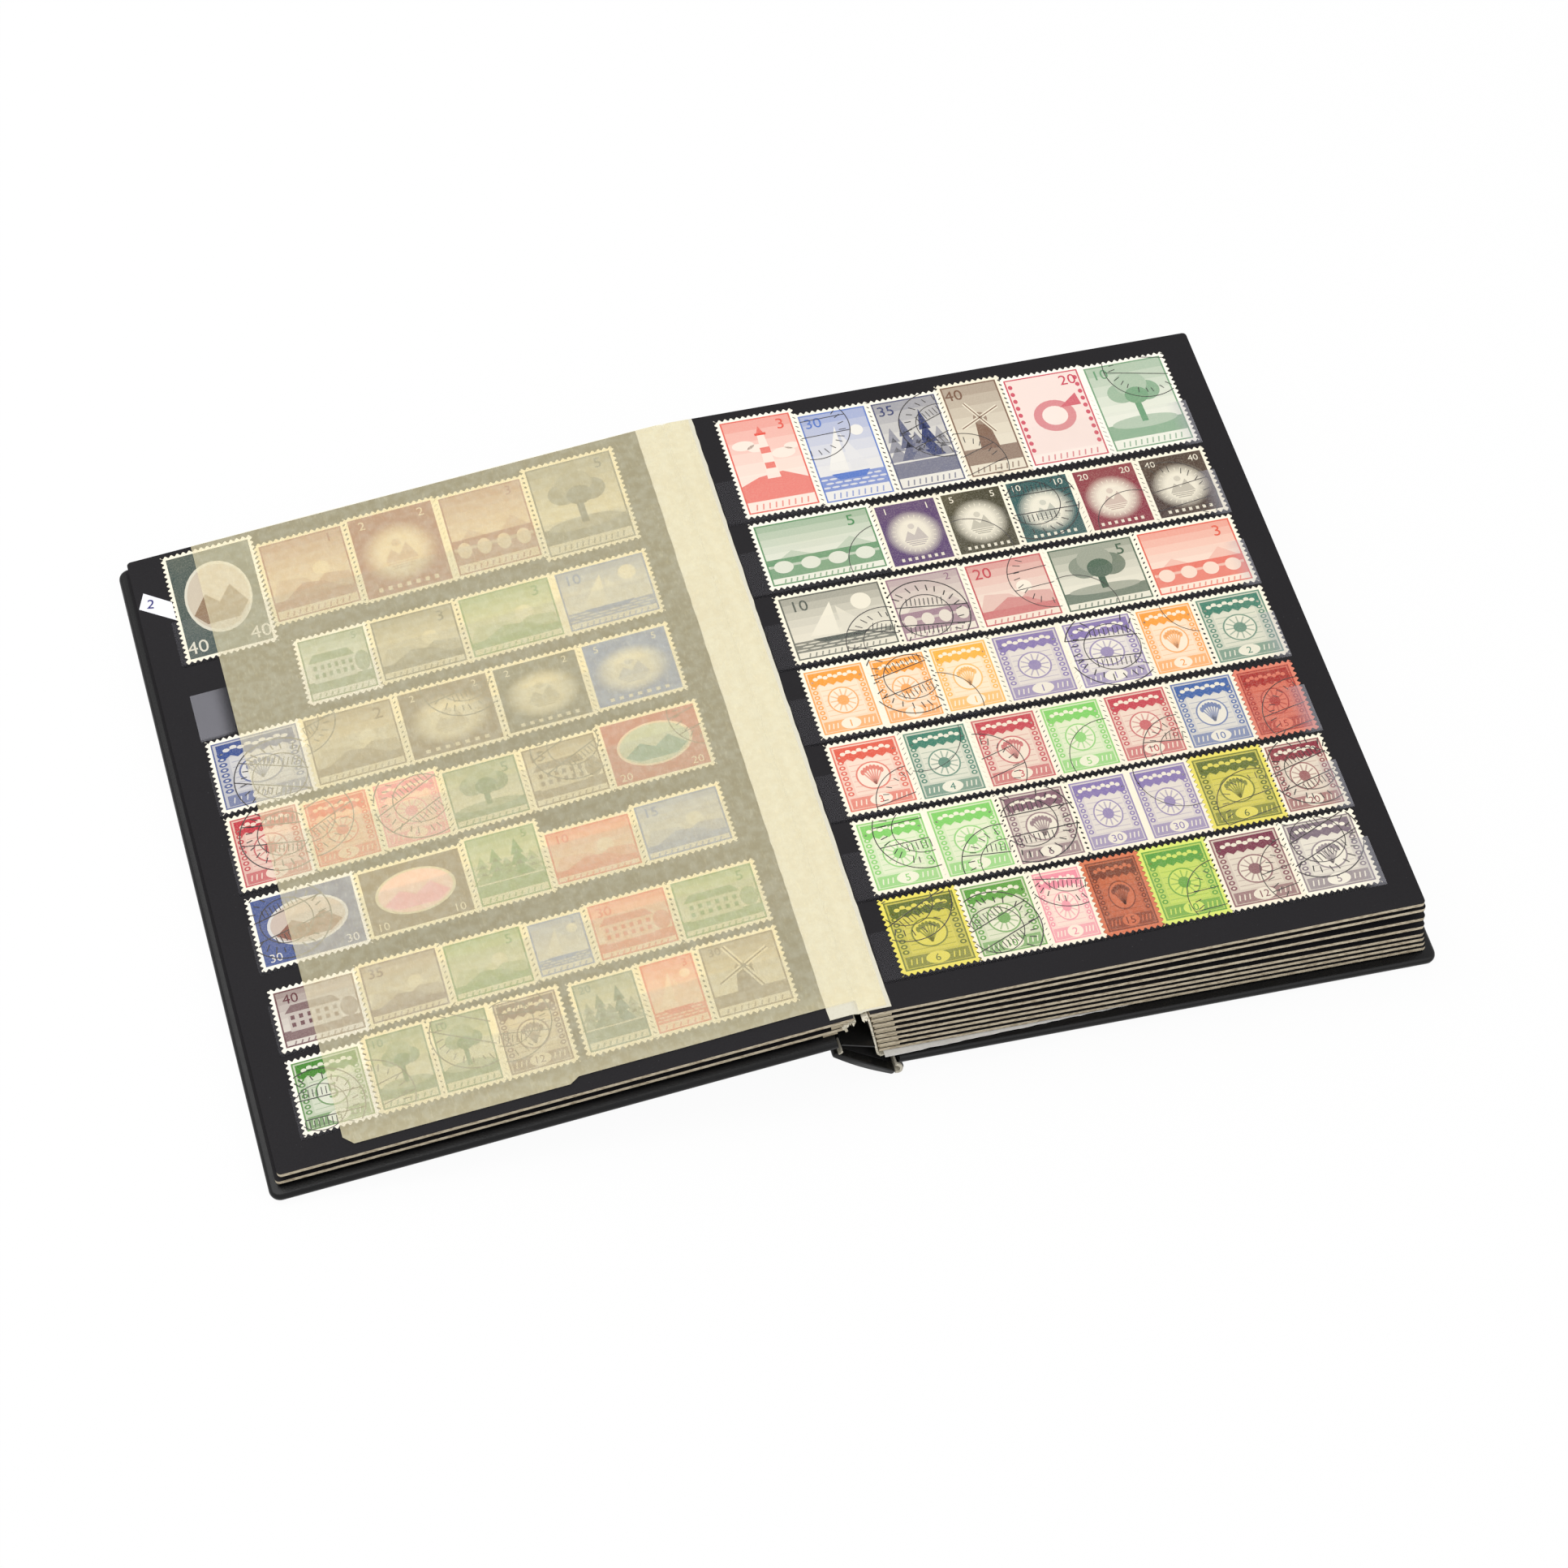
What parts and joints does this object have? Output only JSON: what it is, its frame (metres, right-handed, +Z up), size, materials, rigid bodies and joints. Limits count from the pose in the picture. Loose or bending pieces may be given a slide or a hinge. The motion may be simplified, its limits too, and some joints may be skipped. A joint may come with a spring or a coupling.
{
  "type": "stamp stockbook album",
  "caption": "Case-bound stamp stockbook lying open, with black card leaves, clear pocket strips holding stamps, a glassine interleaf, and covers that close over the leaves.",
  "frame": {"origin": "bottom centre of the open album's bounding box", "axes": "+X across the spread to the right, +Y along the spine to the head, +Z up"},
  "size_m": [0.3244, 0.216, 0.0281],
  "materials": {
    "board": "matt grey board",
    "leatherette": "glossy black, fine grain",
    "joint_cloth": "black leatherette on cream cloth",
    "pastedown": "plain white paper",
    "mull": "off-white open cloth",
    "leaf_card": "black-faced card with a tan core",
    "guard_card": "tan card",
    "clear_film": "clear film",
    "gutter_tape": "cream gummed paper",
    "glassine": "translucent glassine",
    "slip_paper": "plain white paper",
    "stamp_paper": "printed paper in many colours"
  },
  "bodies": {
    "back_cover": {"back_board": "board", "back_leatherette": "leatherette", "back_pastedown": "pastedown", "mull_lining": "mull"},
    "front_cover": {"front_board": "board", "front_leatherette": "leatherette", "front_pastedown": "pastedown"},
    "back_joint": {"back_joint": "joint_cloth"},
    "spine": {"spine_board": "board", "spine_leatherette": "leatherette", "spine_lining": "mull"},
    "front_joint": {"front_joint": "joint_cloth"},
    "leaf_01": {"leaf_01": "leaf_card", "guard_01": "guard_card", "strips_01": "clear_film"},
    "leaf_02": {"leaf_02": "leaf_card", "guard_02": "guard_card", "strips_02": "clear_film", "gutter_tape_left": "gutter_tape", "paper_slip": "slip_paper", "left_stamps_row_1": "stamp_paper", "left_stamps_row_2": "stamp_paper", "left_stamps_row_3": "stamp_paper", "left_stamps_row_4": "stamp_paper", "left_stamps_row_5": "stamp_paper", "left_stamps_row_6": "stamp_paper", "left_stamps_row_7": "stamp_paper"},
    "interleaf": {"interleaf": "glassine"},
    "leaf_03": {"leaf_03": "leaf_card", "guard_03": "guard_card", "strips_03": "clear_film", "gutter_tape_right": "gutter_tape", "right_stamps_row_1": "stamp_paper", "right_stamps_row_2": "stamp_paper", "right_stamps_row_3": "stamp_paper", "right_stamps_row_4": "stamp_paper", "right_stamps_row_5": "stamp_paper", "right_stamps_row_6": "stamp_paper", "right_stamps_row_7": "stamp_paper"},
    "leaf_04": {"leaf_04": "leaf_card", "guard_04": "guard_card", "strips_04": "clear_film"},
    "leaf_05": {"leaf_05": "leaf_card", "guard_05": "guard_card", "strips_05": "clear_film"},
    "leaf_06": {"leaf_06": "leaf_card", "guard_06": "guard_card", "strips_06": "clear_film"},
    "leaf_07": {"leaf_07": "leaf_card", "guard_07": "guard_card", "strips_07": "clear_film"},
    "leaf_08": {"leaf_08": "leaf_card", "guard_08": "guard_card", "strips_08": "clear_film"},
    "leaf_09": {"leaf_09": "leaf_card", "guard_09": "guard_card", "strips_09": "clear_film"},
    "leaf_10": {"leaf_10": "leaf_card", "guard_10": "guard_card", "strips_10": "clear_film"}
  },
  "joints": [
    {"name": "album_close", "type": "hinge", "parent": "back_cover", "child": "front_cover", "pos_m": [-0.00289, 0, 0.02868], "axis": [0, 1, 0], "range_deg": [0, 187.33]},
    {"name": "back_joint_bend", "type": "hinge", "parent": "back_cover", "child": "back_joint", "pos_m": [0.00754, 0, 0.00665], "axis": [0, 1, 0], "range_deg": [0, 98.7]},
    {"name": "spine_bend", "type": "hinge", "parent": "back_joint", "child": "spine", "pos_m": [0.00754, 0, 0.00105], "axis": [0, 1, 0], "range_deg": [-66.59, 0]},
    {"name": "front_joint_bend", "type": "hinge", "parent": "front_cover", "child": "front_joint", "pos_m": [-0.00848, 0, 0.01998], "axis": [0, 1, 0], "range_deg": [-70.58, 0]},
    {"name": "leaf_01_turn", "type": "hinge", "parent": "front_cover", "child": "leaf_01", "pos_m": [-0.00289, 0, 0.02868], "axis": [0, -1, 0], "range_deg": [-3, 0]},
    {"name": "leaf_02_turn", "type": "hinge", "parent": "leaf_01", "child": "leaf_02", "pos_m": [-0.00289, 0, 0.02868], "axis": [0, -1, 0], "range_deg": [-4, 0]},
    {"name": "interleaf_lift", "type": "hinge", "parent": "leaf_02", "child": "interleaf", "pos_m": [-0.00289, 0, 0.02868], "axis": [0, -1, 0], "range_deg": [-45, 0]},
    {"name": "leaf_10_turn", "type": "hinge", "parent": "back_cover", "child": "leaf_10", "pos_m": [-0.00289, 0, 0.02868], "axis": [0, 1, 0], "range_deg": [-2, 0]},
    {"name": "leaf_09_turn", "type": "hinge", "parent": "leaf_10", "child": "leaf_09", "pos_m": [-0.00289, 0, 0.02868], "axis": [0, 1, 0], "range_deg": [-2, 0]},
    {"name": "leaf_08_turn", "type": "hinge", "parent": "leaf_09", "child": "leaf_08", "pos_m": [-0.00289, 0, 0.02868], "axis": [0, 1, 0], "range_deg": [-2, 0]},
    {"name": "leaf_07_turn", "type": "hinge", "parent": "leaf_08", "child": "leaf_07", "pos_m": [-0.00289, 0, 0.02868], "axis": [0, 1, 0], "range_deg": [-2, 0]},
    {"name": "leaf_06_turn", "type": "hinge", "parent": "leaf_07", "child": "leaf_06", "pos_m": [-0.00289, 0, 0.02868], "axis": [0, 1, 0], "range_deg": [-2, 0]},
    {"name": "leaf_05_turn", "type": "hinge", "parent": "leaf_06", "child": "leaf_05", "pos_m": [-0.00289, 0, 0.02868], "axis": [0, 1, 0], "range_deg": [-2, 0]},
    {"name": "leaf_04_turn", "type": "hinge", "parent": "leaf_05", "child": "leaf_04", "pos_m": [-0.00289, 0, 0.02868], "axis": [0, 1, 0], "range_deg": [-4, 0]},
    {"name": "leaf_03_turn", "type": "hinge", "parent": "leaf_04", "child": "leaf_03", "pos_m": [-0.00289, 0, 0.02868], "axis": [0, 1, 0], "range_deg": [-100, 0]}
  ],
  "couplings": [
    {"joint": "back_joint_bend", "follows": "album_close", "ratio": 0.5269},
    {"joint": "spine_bend", "follows": "album_close", "ratio": -0.35546},
    {"joint": "front_joint_bend", "follows": "album_close", "ratio": -0.37674}
  ]
}
